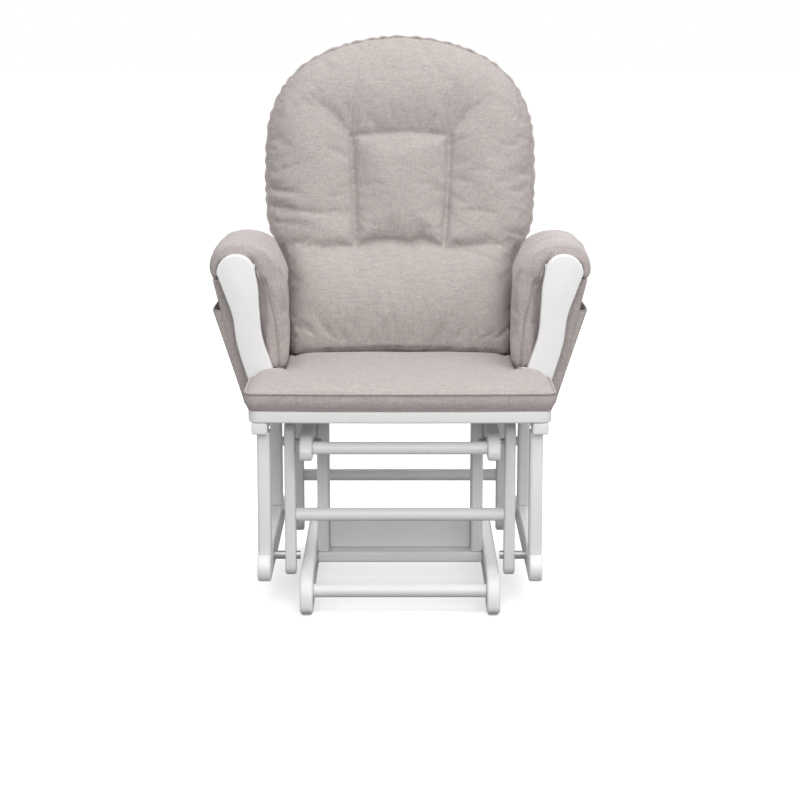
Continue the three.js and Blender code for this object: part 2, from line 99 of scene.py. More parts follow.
def curvePoints(points, count, closed=False, steps=16):   # a smooth line through points, evenly spaced
    p = np.array(points, float)
    n = len(p)
    out = []
    spans = n if closed else n - 1
    for i in range(spans):
        if closed:
            a, b, c, d = p[(i - 1) % n], p[i], p[(i + 1) % n], p[(i + 2) % n]
        else:
            b, c = p[i], p[i + 1]
            a = p[i - 1] if i > 0 else 2 * b - c
            d = p[i + 2] if i + 2 < n else 2 * c - b
        for t in np.linspace(0, 1, steps, endpoint=False):
            out.append(0.5 * ((2 * b) + (c - a) * t + (2 * a - 5 * b + 4 * c - d) * t ** 2
                              + (3 * b - a - 3 * c + d) * t ** 3))
    if not closed:
        out.append(p[-1])
    return evenly(np.array(out), count, closed)


def evenly(line, count, closed=False):            # the same line with evenly spaced points
    if closed:
        line = np.vstack([line, line[:1]])
    step = np.linalg.norm(np.diff(line, axis=0), axis=1)
    along = np.concatenate([[0], np.cumsum(step)])
    want = np.linspace(0, along[-1], count + 1 if closed else count)
    made = np.stack([np.interp(want, along, line[:, k]) for k in range(line.shape[1])], axis=1)
    return made[:-1] if closed else made


def lineDistance(points, a, b):                   # distance to a segment, and how far along it
    a, b = np.array(a, float), np.array(b, float)
    d = b - a
    t = np.clip(((points - a) @ d) / (d @ d), 0, 1)
    return np.linalg.norm(points - (a + t[:, None] * d), axis=1), t


def pathDistance(points, line):                   # distance to the nearest part of a line
    best = np.full(len(points), np.inf)
    for a, b in zip(line[:-1], line[1:]):
        best = np.minimum(best, lineDistance(points, a, b)[0])
    return best


def edgeDistance(points, outline):                # distance to a closed outline
    return pathDistance(points, np.vstack([outline, outline[:1]]))


def gridFaces(rows, columns):                     # the quads between rows of points
    return [(j * columns + i, j * columns + i + 1, (j + 1) * columns + i + 1, (j + 1) * columns + i)
            for j in range(rows - 1) for i in range(columns - 1)]


def tube(name, line, radius, closed=True, sides=8):
    p = np.array(line, float)
    n = len(p)
    ahead = np.roll(p, -1, axis=0) - np.roll(p, 1, axis=0)
    if not closed:
        ahead[0], ahead[-1] = p[1] - p[0], p[-1] - p[-2]
    ahead /= np.linalg.norm(ahead, axis=1)[:, None]
    verts, normal = [], None
    for i in range(n):
        if normal is None:
            seed = np.array([0, 0, 1.0]) if abs(ahead[i][2]) < 0.9 else np.array([1.0, 0, 0])
            normal = np.cross(ahead[i], seed)
        normal = normal - (normal @ ahead[i]) * ahead[i]
        normal /= np.linalg.norm(normal)
        side = np.cross(ahead[i], normal)
        for k in range(sides):
            a = 2 * math.pi * k / sides
            verts.append(p[i] + radius * (math.cos(a) * normal + math.sin(a) * side))
    faces = []
    for i in range(n if closed else n - 1):
        j = (i + 1) % n
        for k in range(sides):
            m = (k + 1) % sides
            faces.append((i * sides + k, j * sides + k, j * sides + m, i * sides + m))
    if not closed:
        faces.append(tuple(reversed(range(sides))))
        faces.append(tuple((n - 1) * sides + k for k in range(sides)))
    return outward(newPiece(name, verts, faces))


def settled(piece):      # the vertex places of a piece, as an array
    places = np.empty(len(piece.data.vertices) * 3)
    piece.data.vertices.foreach_get("co", places)
    return places.reshape(-1, 3)


def moveTo(piece, places):
    piece.data.vertices.foreach_set("co", np.asarray(places, float).ravel())
    piece.data.update()


def pushedIn(piece, depth):              # moves each point inwards along its normal
    normals = np.empty(len(depth) * 3)
    piece.data.vertices.foreach_get("normal", normals)
    moveTo(piece, settled(piece) - normals.reshape(-1, 3) * depth[:, None])


def weigh(piece, name, weights):         # a vertex group with a weight for each point
    marked = piece.vertex_groups.new(name=name)
    for i, weight in enumerate(weights):
        if weight > 0.01:
            marked.add([i], float(min(1.0, weight)), "REPLACE")


def eased(piece, width, steps, angle):   # rounds the edges sharper than an angle
    ease = piece.modifiers.new("ease", "BEVEL")
    ease.width = width
    ease.segments = steps
    ease.limit_method = "ANGLE"
    ease.angle_limit = math.radians(angle)
    return piece


def thickened(piece, depth):             # gives a sheet its thickness, half to each side
    thicken = piece.modifiers.new("thicken", "SOLIDIFY")
    thicken.thickness = depth
    thicken.offset = 0
    return outward(applyModifiers(piece))


def remeshed(piece, size):               # an even skin of small quads
    remesh = piece.modifiers.new("evenSkin", "REMESH")
    remesh.mode = "VOXEL"
    remesh.voxel_size = size
    remesh.use_smooth_shade = True
    return applyModifiers(piece)


def relaxed(piece, weights, factor=0.5, repeat=12):      # smooths where the weights are high
    weigh(piece, "soft", weights)
    smooth = piece.modifiers.new("relax", "SMOOTH")
    smooth.factor = factor
    smooth.iterations = repeat
    smooth.vertex_group = "soft"
    applyModifiers(piece)
    piece.vertex_groups.clear()
    return piece


clothFill = {"quality": 5, "mass": 0.3, "stiffness": 12.0, "shearShare": 0.5, "bending": 0.4, "damping": 12,
             "airDamping": 3, "pinStiffness": 50}


def inflate(piece, held, pressure, cap, spare, frames=20):    # stuffs a piece, held where its seams are
    start = settled(piece)
    weigh(piece, "pins", held)
    fill = piece.modifiers.new("fill", "CLOTH")
    settings = fill.settings
    settings.quality = clothFill["quality"]
    settings.mass = clothFill["mass"]
    settings.tension_stiffness = settings.compression_stiffness = clothFill["stiffness"]
    settings.shear_stiffness = clothFill["stiffness"] * clothFill["shearShare"]
    settings.bending_stiffness = clothFill["bending"]
    settings.tension_damping = settings.compression_damping = clothFill["damping"]
    settings.shear_damping = clothFill["damping"]
    settings.air_damping = clothFill["airDamping"]
    settings.shrink_min = -spare
    settings.use_pressure = True
    settings.uniform_pressure_force = pressure
    settings.effector_weights.gravity = 0
    settings.vertex_group_mass = "pins"
    settings.pin_stiffness = clothFill["pinStiffness"]
    fill.collision_settings.use_collision = False
    fill.point_cache.frame_start = 1
    fill.point_cache.frame_end = frames
    for step in range(1, frames + 1):
        scene.frame_set(step)
    graph = bpy.context.evaluated_depsgraph_get()
    filled = settled(piece.evaluated_get(graph))
    piece.modifiers.clear()
    piece.vertex_groups.clear()
    scene.frame_set(1)
    move = filled - start
    reach = np.linalg.norm(move, axis=1)
    share = np.minimum(1.0, cap / np.maximum(reach, 1e-9))
    moveTo(piece, start + move * share[:, None])
    print(piece.name, "filled,", len(start), "points, furthest", round(float(reach.max()) * 1000, 1), "mm")
    return piece


def subdivided(piece):
    finer = piece.modifiers.new("finer", "SUBSURF")
    finer.levels = finer.render_levels = 1
    return applyModifiers(piece)


def group(name, inputs, outputs):
    tree = bpy.data.node_groups.new(name, "ShaderNodeTree")
    for label, kind, value in inputs:
        socket = tree.interface.new_socket(label, in_out="INPUT", socket_type=kind)
        if value is not None:
            socket.default_value = value
    for label, kind in outputs:
        tree.interface.new_socket(label, in_out="OUTPUT", socket_type=kind)
    return tree, tree.nodes.new("NodeGroupInput"), tree.nodes.new("NodeGroupOutput")


def mathNode(tree, operation, a, b=None):
    node = tree.nodes.new("ShaderNodeMath")
    node.operation = operation
    for socket, value in zip(node.inputs, (a, b)):
        if value is None:
            continue
        if isinstance(value, (int, float)):
            socket.default_value = value
        else:
            tree.links.new(value, socket)
    return node.outputs[0]


def stretchedNoise(tree, coords, stretch, detail=2.0):   # noise drawn out along one axis
    scaled = tree.nodes.new("ShaderNodeVectorMath")
    scaled.operation = "MULTIPLY"
    scaled.inputs[1].default_value = stretch
    tree.links.new(coords, scaled.inputs[0])
    noise = tree.nodes.new("ShaderNodeTexNoise")
    noise.inputs["Scale"].default_value = 1
    noise.inputs["Detail"].default_value = detail
    noise.inputs["Roughness"].default_value = 0.6
    tree.links.new(scaled.outputs[0], noise.inputs["Vector"])
    return noise.outputs["Fac"]


weaveLook = {"fine": (900.0, 70.0), "coarse": (300.0, 32.0), "fineShare": 0.55, "coarseShare": 0.45,
             "heather": 250, "heatherShare": 0.55}


def wovenThreads():      # crossing threads with slubs, along the object's own axes
    tree, given, made = group("wovenThreads", [("Contrast", "NodeSocketFloat", 1.0)],
                              [("Tint", "NodeSocketFloat"), ("Height", "NodeSocketFloat")])
    place = tree.nodes.new("ShaderNodeTexCoord")
    facing = tree.nodes.new("ShaderNodeSeparateXYZ")
    tree.links.new(place.outputs["Normal"], facing.inputs[0])
    sums = []
    for across, along in (weaveLook["fine"], weaveLook["coarse"]):
        total = None
        for axis in range(3):
            stretch = [across] * 3
            stretch[axis] = along
            thread = stretchedNoise(tree, place.outputs["Object"], stretch)
            seen = mathNode(tree, "SUBTRACT", 1.0, mathNode(tree, "ABSOLUTE", facing.outputs[axis]))
            part = mathNode(tree, "MULTIPLY", mathNode(tree, "SUBTRACT", thread, 0.5), seen)
            total = part if total is None else mathNode(tree, "ADD", total, part)
        sums.append(total)
    weave = mathNode(tree, "ADD", mathNode(tree, "MULTIPLY", sums[0], weaveLook["fineShare"]),
                     mathNode(tree, "MULTIPLY", sums[1], weaveLook["coarseShare"]))
    flecks = stretchedNoise(tree, place.outputs["Object"], [weaveLook["heather"]] * 3)
    heather = mathNode(tree, "SUBTRACT", flecks, 0.5)
    mottled = mathNode(tree, "ADD", weave, mathNode(tree, "MULTIPLY", heather, weaveLook["heatherShare"]))
    scaled = mathNode(tree, "MULTIPLY", mottled, given.outputs["Contrast"])
    tree.links.new(mathNode(tree, "ADD", scaled, 0.5), made.inputs["Tint"])
    tree.links.new(mathNode(tree, "ADD", weave, 0.5), made.inputs["Height"])
    return tree


grainLook = {"peel": 420, "cloud": 14, "grainShare": 0.7, "peelShare": 0.3}


def paintedGrain():      # wood grain that shows faintly through paint, drawn out along one axis
    tree, given, made = group("paintedGrain", [("Grain Along", "NodeSocketVector", None)],
                              [("Mottle", "NodeSocketFloat"), ("Height", "NodeSocketFloat")])
    place = tree.nodes.new("ShaderNodeTexCoord")
    along = tree.nodes.new("ShaderNodeVectorMath")
    along.operation = "MULTIPLY"
    tree.links.new(place.outputs["Object"], along.inputs[0])
    tree.links.new(given.outputs["Grain Along"], along.inputs[1])
    grain = stretchedNoise(tree, along.outputs[0], (1, 1, 1), 3.0)
    peel = stretchedNoise(tree, place.outputs["Object"], [grainLook["peel"]] * 3, 1.0)
    cloud = stretchedNoise(tree, place.outputs["Object"], [grainLook["cloud"]] * 3)
    height = mathNode(tree, "ADD", mathNode(tree, "MULTIPLY", grain, grainLook["grainShare"]),
                      mathNode(tree, "MULTIPLY", peel, grainLook["peelShare"]))
    tree.links.new(cloud, made.inputs["Mottle"])
    tree.links.new(height, made.inputs["Height"])
    return tree


threadGroup = wovenThreads()
grainGroup = paintedGrain()


def newMaterial(name):
    material = bpy.data.materials.new(name)
    material.use_nodes = True
    tree = material.node_tree
    return material, tree, tree.nodes["Principled BSDF"]


def placeGroup(tree, made, **values):
    node = tree.nodes.new("ShaderNodeGroup")
    node.node_tree = made
    for label, value in values.items():
        node.inputs[label.replace("_", " ")].default_value = value
    return node


def mixColours(tree, factor, dark, light):
    mix = tree.nodes.new("ShaderNodeMix")
    mix.data_type = "RGBA"
    mix.inputs["A"].default_value = (*dark, 1)
    mix.inputs["B"].default_value = (*light, 1)
    tree.links.new(factor, mix.inputs["Factor"])
    return mix.outputs["Result"]


def bump(tree, shader, height, look):
    node = tree.nodes.new("ShaderNodeBump")
    node.inputs["Distance"].default_value = look["bumpDepth"]
    node.inputs["Strength"].default_value = look["bumpStrength"]
    tree.links.new(height, node.inputs["Height"])
    tree.links.new(node.outputs[0], shader.inputs["Normal"])


def roughen(tree, shader, height, look):
    spread = mathNode(tree, "MULTIPLY", height, look["roughnessSpread"])
    tree.links.new(mathNode(tree, "ADD", spread, look["roughness"]), shader.inputs["Roughness"])


def tinted(tree, shader, look):          # one colour, a little darker along the grain
    made = placeGroup(tree, grainGroup, Grain_Along=look["stretch"])
    darker = [c * look["darkest"] for c in look["colour"]]
    tint = mixColours(tree, made.outputs["Height"], darker, look["colour"])
    tree.links.new(tint, shader.inputs["Base Color"])
    return made.outputs["Height"]


clothLook = {"contrast": 1.9, "roughness": 0.92, "specular": 0.25, "sheen": 0.18, "sheenRoughness": 0.45,
             "bumpDepth": 0.0012, "bumpStrength": 0.55}


def taupeCloth(name, dark, light):
    material, tree, shader = newMaterial(name)
    weave = placeGroup(tree, threadGroup, Contrast=clothLook["contrast"])
    tree.links.new(mixColours(tree, weave.outputs["Tint"], dark, light), shader.inputs["Base Color"])
    shader.inputs["Roughness"].default_value = clothLook["roughness"]
    shader.inputs["Specular IOR Level"].default_value = clothLook["specular"]
    shader.inputs["Sheen Weight"].default_value = clothLook["sheen"]
    shader.inputs["Sheen Roughness"].default_value = clothLook["sheenRoughness"]
    bump(tree, shader, weave.outputs["Height"], clothLook)
    return material


paintLook = {"dark": (0.750, 0.742, 0.746), "light": (0.806, 0.797, 0.800), "roughness": 0.30,
             "roughnessSpread": 0.16, "specular": 0.45, "bumpDepth": 0.0004, "bumpStrength": 0.35}


def whitePaint(name, grain):
    material, tree, shader = newMaterial(name)
    made = placeGroup(tree, grainGroup, Grain_Along=grain)
    colour = mixColours(tree, made.outputs["Mottle"], paintLook["dark"], paintLook["light"])
    tree.links.new(colour, shader.inputs["Base Color"])
    roughen(tree, shader, made.outputs["Mottle"], paintLook)
    shader.inputs["Specular IOR Level"].default_value = paintLook["specular"]
    bump(tree, shader, made.outputs["Height"], paintLook)
    return material


boltLook = {"colour": (0.62, 0.63, 0.65), "darkest": 0.88, "roughness": 0.22, "roughnessSpread": 0.2,
            "stretch": (300, 900, 900)}


def plainMetal(name):
    material, tree, shader = newMaterial(name)
    grain = tinted(tree, shader, boltLook)
    shader.inputs["Metallic"].default_value = 1.0
    roughen(tree, shader, grain, boltLook)
    return material


glideLook = {"colour": (0.70, 0.69, 0.67), "darkest": 0.93, "roughness": 0.55, "stretch": (500, 500, 500),
             "bumpDepth": 0.0003, "bumpStrength": 0.3}


def palePlastic(name):
    material, tree, shader = newMaterial(name)
    grain = tinted(tree, shader, glideLook)
    shader.inputs["Roughness"].default_value = glideLook["roughness"]
    bump(tree, shader, grain, glideLook)
    return material


cloth = taupeCloth("taupeCloth", (0.322, 0.287, 0.276), (0.486, 0.437, 0.423))
# a darker copy of the cloth for the welts and hems: painted shade along the seams, where they sit in shadow
shadedSeamCloth = taupeCloth("taupeSeamShaded", (0.282, 0.246, 0.236), (0.414, 0.370, 0.356))
paint = {"x": whitePaint("whitePaintAcross", (18, 260, 260)),
         "y": whitePaint("whitePaintDeep", (260, 18, 260)),
         "z": whitePaint("whitePaintTall", (260, 260, 18))}
steel = plainMetal("zincSteel")
glidePlastic = palePlastic("glidePlastic")
print("materials ready")


view = {"distance": 3.630, "height": 1.117, "pitch": 11.0, "lens": 92.25, "sensor": 36}


def makeCamera():
    data = bpy.data.cameras.new("frontView")
    data.lens = view["lens"]
    data.sensor_width = view["sensor"]
    camera = bpy.data.objects.new("frontView", data)
    camera.location = (0, seatFront - view["distance"], view["height"])
    camera.rotation_euler = (math.radians(90 - view["pitch"]), 0, 0)
    scene.collection.objects.link(camera)
    scene.camera = camera


def areaLight(name, place, target, size, power):
    data = bpy.data.lights.new(name, "AREA")
    data.shape = "RECTANGLE"
    data.size, data.size_y = size
    data.energy = power
    lamp = bpy.data.objects.new(name, data)
    lamp.location = place
    lamp.rotation_euler = (Vector(target) - Vector(place)).to_track_quat("-Z", "Y").to_euler()
    scene.collection.objects.link(lamp)


studio = {"horizon": 0.35, "zenith": 0.98, "floorHalf": 30.0,
          "floorBounce": 0.27, "floorSeen": 0.80, "floorGlow": 0.43,
          "lamps": [("topSoftbox", (0.25, -0.55, 2.9), (0, 0.1, 0.4), (2.4, 2.0), 35),
                    ("frontSoftbox", (0.15, -3.4, 1.9), (0, 0, 0.6), (2.4, 1.8), 55),
                    ("sideSoftbox", (2.6, -1.6, 1.7), (0, 0, 0.6), (1.6, 1.8), 13),
                    ("rearSoftbox", (0.5, 3.2, 1.9), (0, 0.2, 0.5), (2.4, 1.8), 46)]}


def makeStudio():
    world = bpy.data.worlds.new("paleStudio")
    world.use_nodes = True
    scene.world = world
    tree = world.node_tree
    sky = tree.nodes["Background"]
    sky.inputs["Color"].default_value = (1, 1, 1, 1)
    place = tree.nodes.new("ShaderNodeTexCoord")
    parts = tree.nodes.new("ShaderNodeSeparateXYZ")
    tree.links.new(place.outputs["Generated"], parts.inputs[0])
    rise = mathNode(tree, "MAXIMUM", parts.outputs[2], 0.0)
    lift = mathNode(tree, "MULTIPLY", rise, studio["zenith"] - studio["horizon"])
    tree.links.new(mathNode(tree, "ADD", lift, studio["horizon"]), sky.inputs["Strength"])
    backdrop = tree.nodes.new("ShaderNodeBackground")
    backdrop.inputs["Color"].default_value = (1, 1, 1, 1)
    backdrop.inputs["Strength"].default_value = 1.0
    seen = tree.nodes.new("ShaderNodeLightPath")
    mix = tree.nodes.new("ShaderNodeMixShader")
    tree.links.new(seen.outputs["Is Camera Ray"], mix.inputs[0])
    tree.links.new(sky.outputs[0], mix.inputs[1])
    tree.links.new(backdrop.outputs[0], mix.inputs[2])
    tree.links.new(mix.outputs[0], tree.nodes["World Output"].inputs[0])
    for lamp in studio["lamps"]:         # name, place, what it faces, size and power
        areaLight(*lamp)
    half = studio["floorHalf"]
    corners = [(-half, -half, 0), (half, -half, 0), (half, half, 0), (-half, half, 0)]
    floor = newPiece("paleFloor", corners, [(0, 1, 2, 3)], smooth=False)
    material, tree, shader = newMaterial("paleFloor")
    seen = tree.nodes.new("ShaderNodeLightPath")
    shade = mixColours(tree, seen.outputs["Is Camera Ray"], [studio["floorBounce"]] * 3,
                       [studio["floorSeen"]] * 3)
    tree.links.new(shade, shader.inputs["Base Color"])
    glow = mathNode(tree, "MULTIPLY", seen.outputs["Is Camera Ray"], studio["floorGlow"])
    shader.inputs["Emission Color"].default_value = (1, 1, 1, 1)
    tree.links.new(glow, shader.inputs["Emission Strength"])
    shader.inputs["Roughness"].default_value = 1.0
    shader.inputs["Specular IOR Level"].default_value = 0.0
    floor.data.materials.append(material)
    scene.view_settings.view_transform = "Standard"
    scene.view_settings.look = "None"


makeCamera()
makeStudio()
print("camera, light and floor ready")


longWay = {"foot_rail": "y", "base_upper_rail": "y", "base_upright": "z", "foot_dowel": "x",
           "upper_dowel": "x", "link_dowel": "x", "base_sill": "x", "base_crossboard": "x",
           "link": "z", "seat_lower_rail": "y", "seat_upper_rail": "y", "post": "z",
           "seat_front_rail": "x", "seat_rear_rail": "x", "seat_side_board": "y", "seat_slat": "x",
           "back_hoop": "z", "back_lower_rail": "x", "back_slat": "z", "armrest": "y", "arm_post": "z"}


woodFinish = {"weld": 0.00005, "edge": 0.0009, "edgeSteps": 2, "edgeAngle": 33, "smoothAngle": 34}


def grainOf(name):
    best = max((key for key in longWay if key in name), key=len)
    return paint[longWay[best]]


def dressFrame():
    for name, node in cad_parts.items():
        if any(word in name for word in ("cushion", "arm_pad", "arm_pocket")):
            continue
        material = steel if "bolt" in name else glidePlastic if "glide" in name else grainOf(name)
        node.data.materials.clear()
        node.data.materials.append(material)
        weld = node.modifiers.new("weld", "WELD")
        weld.merge_threshold = woodFinish["weld"]
        if "dowel" not in name and "bolt" not in name:
            eased(node, woodFinish["edge"], woodFinish["edgeSteps"], woodFinish["edgeAngle"])
        node.modifiers.new("shade", "NODES").node_group = smoothGroup


def smoothByAngle():     # smooth shading, with sharp edges kept
    tree = bpy.data.node_groups.new("smoothByAngle", "GeometryNodeTree")
    tree.interface.new_socket("Geometry", in_out="INPUT", socket_type="NodeSocketGeometry")
    tree.interface.new_socket("Geometry", in_out="OUTPUT", socket_type="NodeSocketGeometry")
    given, made = tree.nodes.new("NodeGroupInput"), tree.nodes.new("NodeGroupOutput")
    angle = tree.nodes.new("GeometryNodeInputMeshEdgeAngle")
    flat = tree.nodes.new("FunctionNodeCompare")
    flat.data_type, flat.operation = "FLOAT", "LESS_THAN"
    flat.inputs["B"].default_value = math.radians(woodFinish["smoothAngle"])
    tree.links.new(angle.outputs["Unsigned Angle"], flat.inputs["A"])
    faces = tree.nodes.new("GeometryNodeSetShadeSmooth")
    faces.domain = "FACE"
    edges = tree.nodes.new("GeometryNodeSetShadeSmooth")
    edges.domain = "EDGE"
    tree.links.new(given.outputs[0], faces.inputs["Geometry"])
    tree.links.new(faces.outputs[0], edges.inputs["Geometry"])
    tree.links.new(flat.outputs[0], edges.inputs["Shade Smooth"])
    tree.links.new(edges.outputs[0], made.inputs[0])
    return tree


smoothGroup = smoothByAngle()
dressFrame()


armPaddle = {"headRadius": 0.036, "round": 0.0042, "roundSteps": 4, "sharpAngle": 50,
             "outer": [(0.277, 0.3903), (0.291, 0.430), (0.307, 0.486), (0.314, 0.536),
                       (0.329, 0.580), (0.343, 0.6175)],
             "inner": [(0.271, 0.6175), (0.266, 0.588), (0.264, 0.548), (0.259, 0.497),
                       (0.243, 0.447), (0.224, 0.3903)]}


def makeArmPosts():      # the white paddles in front of the arms
    for label, side in sides:
        low, high = armPost[label]
        head = armPaddle["headRadius"]
        centreX = (armPaddle["outer"][-1][0] + armPaddle["inner"][0][0]) / 2
        centreZ = armPaddle["outer"][-1][1]
        arc = [(centreX + head * math.cos(a), centreZ + head * math.sin(a))
               for a in np.linspace(0, math.pi, 40)[1:-1]]
        outer, inner = curvePoints(armPaddle["outer"], 60), curvePoints(armPaddle["inner"], 60)
        outline = np.vstack([outer, arc, inner])
        n = len(outline)
        verts = [(side * a, low.y, b) for a, b in outline] + [(side * a, high.y, b) for a, b in outline]
        faces = [tuple(range(n)), tuple(reversed(range(n, 2 * n)))]
        faces += [(i, (i + 1) % n, n + (i + 1) % n, n + i) for i in range(n)]
        post = outward(newPiece("armPaddle" + label.capitalize(), verts, faces))
        applyModifiers(eased(post, armPaddle["round"], armPaddle["roundSteps"], armPaddle["sharpAngle"]))
        post.modifiers.new("shade", "NODES").node_group = smoothGroup
        addPiece(post, "seat", paint["z"], "white_paint", "arm_post_" + label)


makeArmPosts()
print("painted frame ready")


backPlane = {"lean": math.radians(13), "foot": behind(0.486)}


def backPoint(x, s, m):  # s runs up the leaning back, m is in front of its middle plane
    lean = backPlane["lean"]
    y = backPlane["foot"] + s * math.sin(lean) - m * math.cos(lean)
    z = seatTop + s * math.cos(lean) + m * math.sin(lean)
    return np.stack([np.broadcast_to(x, np.shape(s)), y, z], axis=-1)


backPad = {
    "outline": [(0.227, 0.085), (0.229, 0.150), (0.233, 0.215), (0.250, 0.248), (0.264, 0.285),
                (0.269, 0.345), (0.270, 0.405), (0.266, 0.478), (0.251, 0.531), (0.224, 0.577),
                (0.185, 0.6125), (0.135, 0.6385), (0.072, 0.6565), (0.0, 0.6640)],
    "bottomCorner": 0.016, "bottom": 0.036,
    "rings": 40, "around": 260, "centre": (0.0, 0.350), "voxel": 0.0055,
    "thickness": [(0.0, 0.126), (0.06, 0.128), (0.13, 0.130), (0.18, 0.122), (0.235, 0.100),
                  (0.30, 0.092), (0.40, 0.092), (0.47, 0.092), (0.53, 0.090), (0.60, 0.082), (0.67, 0.070)],
    "seam": 0.046, "rest": 0.0130, "pressure": 4.0, "cap": 0.024, "spare": 0.016,
    "panel": {"top": 0.459, "bottom": 0.233, "halfTop": 0.098, "halfBottom": 0.088},
    "ripple": 0.0300, "rippleDepth": 0.0013, "weltRadius": 0.0032, "weltSet": 0.0008,
    "ringPower": 0.85, "roundReach": 0.100, "lowReach": 0.062, "roundPower": 2.3,
    "rearReach": 0.07, "rearPower": 2.2,
    "lowFrom": 0.18, "lowOver": 0.12, "seamLift": 0.014,
    "seamHold": 0.0042, "edgeHold": 0.006, "rearHold": 0.036, "footHold": (0.045, 0.060),
    "seamDepths": (0.0034, 0.0062, 0.0062, 0.0050), "seamWidth": 0.0046, "gather": 0.0006, "gatherReach": 0.014,
    "unevenness": 0.0010,
}


def backOutline():
    right = backPad["outline"]
    r = backPad["bottomCorner"]
    halfBottom = right[0][0]
    bottom = backPad["bottom"]
    arc = [(halfBottom - r + r * math.sin(a), bottom - 0.007 + r - r * math.cos(a))
           for a in np.linspace(0, math.pi / 2, 8)[:-1]]       # the corners hang a little lower
    rightSide = [(0.1, bottom - 0.002)] + arc + list(right)
    leftSide = [(-x, s) for x, s in reversed(rightSide[:-1])]
    return curvePoints(rightSide + leftSide + [(0.0, bottom)], backPad["around"], closed=True)


def creaseDepth(points, creases):        # how far the sewn lines and folds pull the cloth in
    deepest = np.zeros(len(points))
    for line, depth, width, fade in creases:
        count = len(line) - 1
        for k in range(count):
            away, t = lineDistance(points, line[k], line[k + 1])
            along = (k + t) / count
            share = fade[0] + (fade[1] - fade[0]) * along
            deepest = np.maximum(deepest, depth * share * np.exp(-(away / width) ** 1.4))
    return deepest


def panelSeams():        # the sewn lines of the tufted panel, left to right and top to bottom
    p = backPad["panel"]
    ht, hb, top, low = p["halfTop"], p["halfBottom"], p["top"], p["bottom"]
    return {"top": [(-ht, top - 0.004), (-ht * 0.5, top + 0.002), (0.0, top + 0.004),
                    (ht * 0.5, top + 0.003), (ht, top - 0.002)],
            "left": [(-ht, top - 0.004), (-0.095, 0.400), (-0.091, 0.320), (-hb, low)],
            "right": [(ht + 0.002, top - 0.002), (0.098, 0.400), (0.094, 0.310), (hb, low + 0.002)],
            "bottom": [(-0.158, low - 0.004), (-0.120, low + 0.001), (-hb, low), (-0.055, low + 0.010),
                       (-0.020, low + 0.013), (0.020, low + 0.006), (0.045, low + 0.014),
                       (0.066, low + 0.006), (hb, low - 0.004), (0.125, low - 0.001), (0.172, low + 0.004)]}


def backPulls():         # the deep pulls that the stuffing swells between
    seams = panelSeams()
    level = (1.0, 1.0)
    pulls = [(seams["top"], 0.011, 0.013, level), (seams["left"], 0.018, 0.013, level),
             (seams["right"], 0.018, 0.013, level), (seams["bottom"][2:9], 0.018, 0.014, level),
             (seams["bottom"][2::-1], 0.018, 0.013, (1.0, 0.15)),
             (seams["bottom"][8:], 0.018, 0.013, (1.0, 0.15))]
    for side in (-1, 1):
        x, s = side * backPad["panel"]["halfTop"], backPad["panel"]["top"]
        pulls += [([(x, s), (x + side * 0.004, s + 0.070)], 0.020, 0.015, (1.0, 0.05)),
                  ([(x, s), (x + side * 0.044, s + 0.054)], 0.019, 0.012, (1.0, 0.05))]
    return pulls


backFolds = [            # loose folds in the cloth: line, depth, width, how it fades
    ([(-0.262, 0.352), (-0.232, 0.343), (-0.196, 0.338)], 0.0085, 0.0065, (1.0, 0.2)),
    ([(-0.262, 0.318), (-0.215, 0.306), (-0.168, 0.296)], 0.0095, 0.0075, (1.0, 0.2)),
    ([(-0.252, 0.283), (-0.180, 0.272)], 0.0050, 0.0080, (1.0, 0.2)),
    ([(0.252, 0.258), (0.205, 0.262)], 0.0060, 0.0065, (1.0, 0.2)),
    ([(0.262, 0.380), (0.215, 0.372)], 0.0035, 0.0090, (1.0, 0.2)),
    ([(-0.175, 0.214), (-0.118, 0.226)], 0.0030, 0.0055, (0.3, 1.0)),
    ([(0.112, 0.236), (0.150, 0.216), (0.205, 0.196)], 0.0055, 0.0060, (1.0, 0.2)),
    ([(0.105, 0.226), (0.135, 0.208)], 0.0035, 0.0050, (1.0, 0.2)),
    ([(-0.150, 0.060), (-0.172, 0.112)], 0.0040, 0.0080, (0.8, 0.0)),
    ([(-0.112, 0.046), (-0.108, 0.100)], 0.0036, 0.0080, (1.0, 0.0)),
    ([(-0.060, 0.046), (-0.064, 0.090)], 0.0018, 0.0070, (1.0, 0.0)),
    ([(0.020, 0.046), (0.022, 0.090)], 0.0018, 0.0070, (1.0, 0.0)),
    ([(0.120, 0.050), (0.130, 0.100)], 0.0022, 0.0080, (1.0, 0.0)),
    ([(-0.030, 0.590), (0.045, 0.584)], 0.0018, 0.0080, (0.6, 0.3))]


def backPlaneCoords(places):             # x, s and m of points in the chair's frame
    lean = backPlane["lean"]
    dy, dz = places[:, 1] - backPlane["foot"], places[:, 2] - seatTop
    return places[:, 0], dy * math.sin(lean) + dz * math.cos(lean), \
        -dy * math.cos(lean) + dz * math.sin(lean)


def settleOnSeat(s, m):  # how far the lower end drops, so that it sits level on the seat
    drop = np.clip((0.16 - s) / 0.12, 0, 1)
    return m * math.tan(backPlane["lean"]) * drop * drop * (3 - 2 * drop)


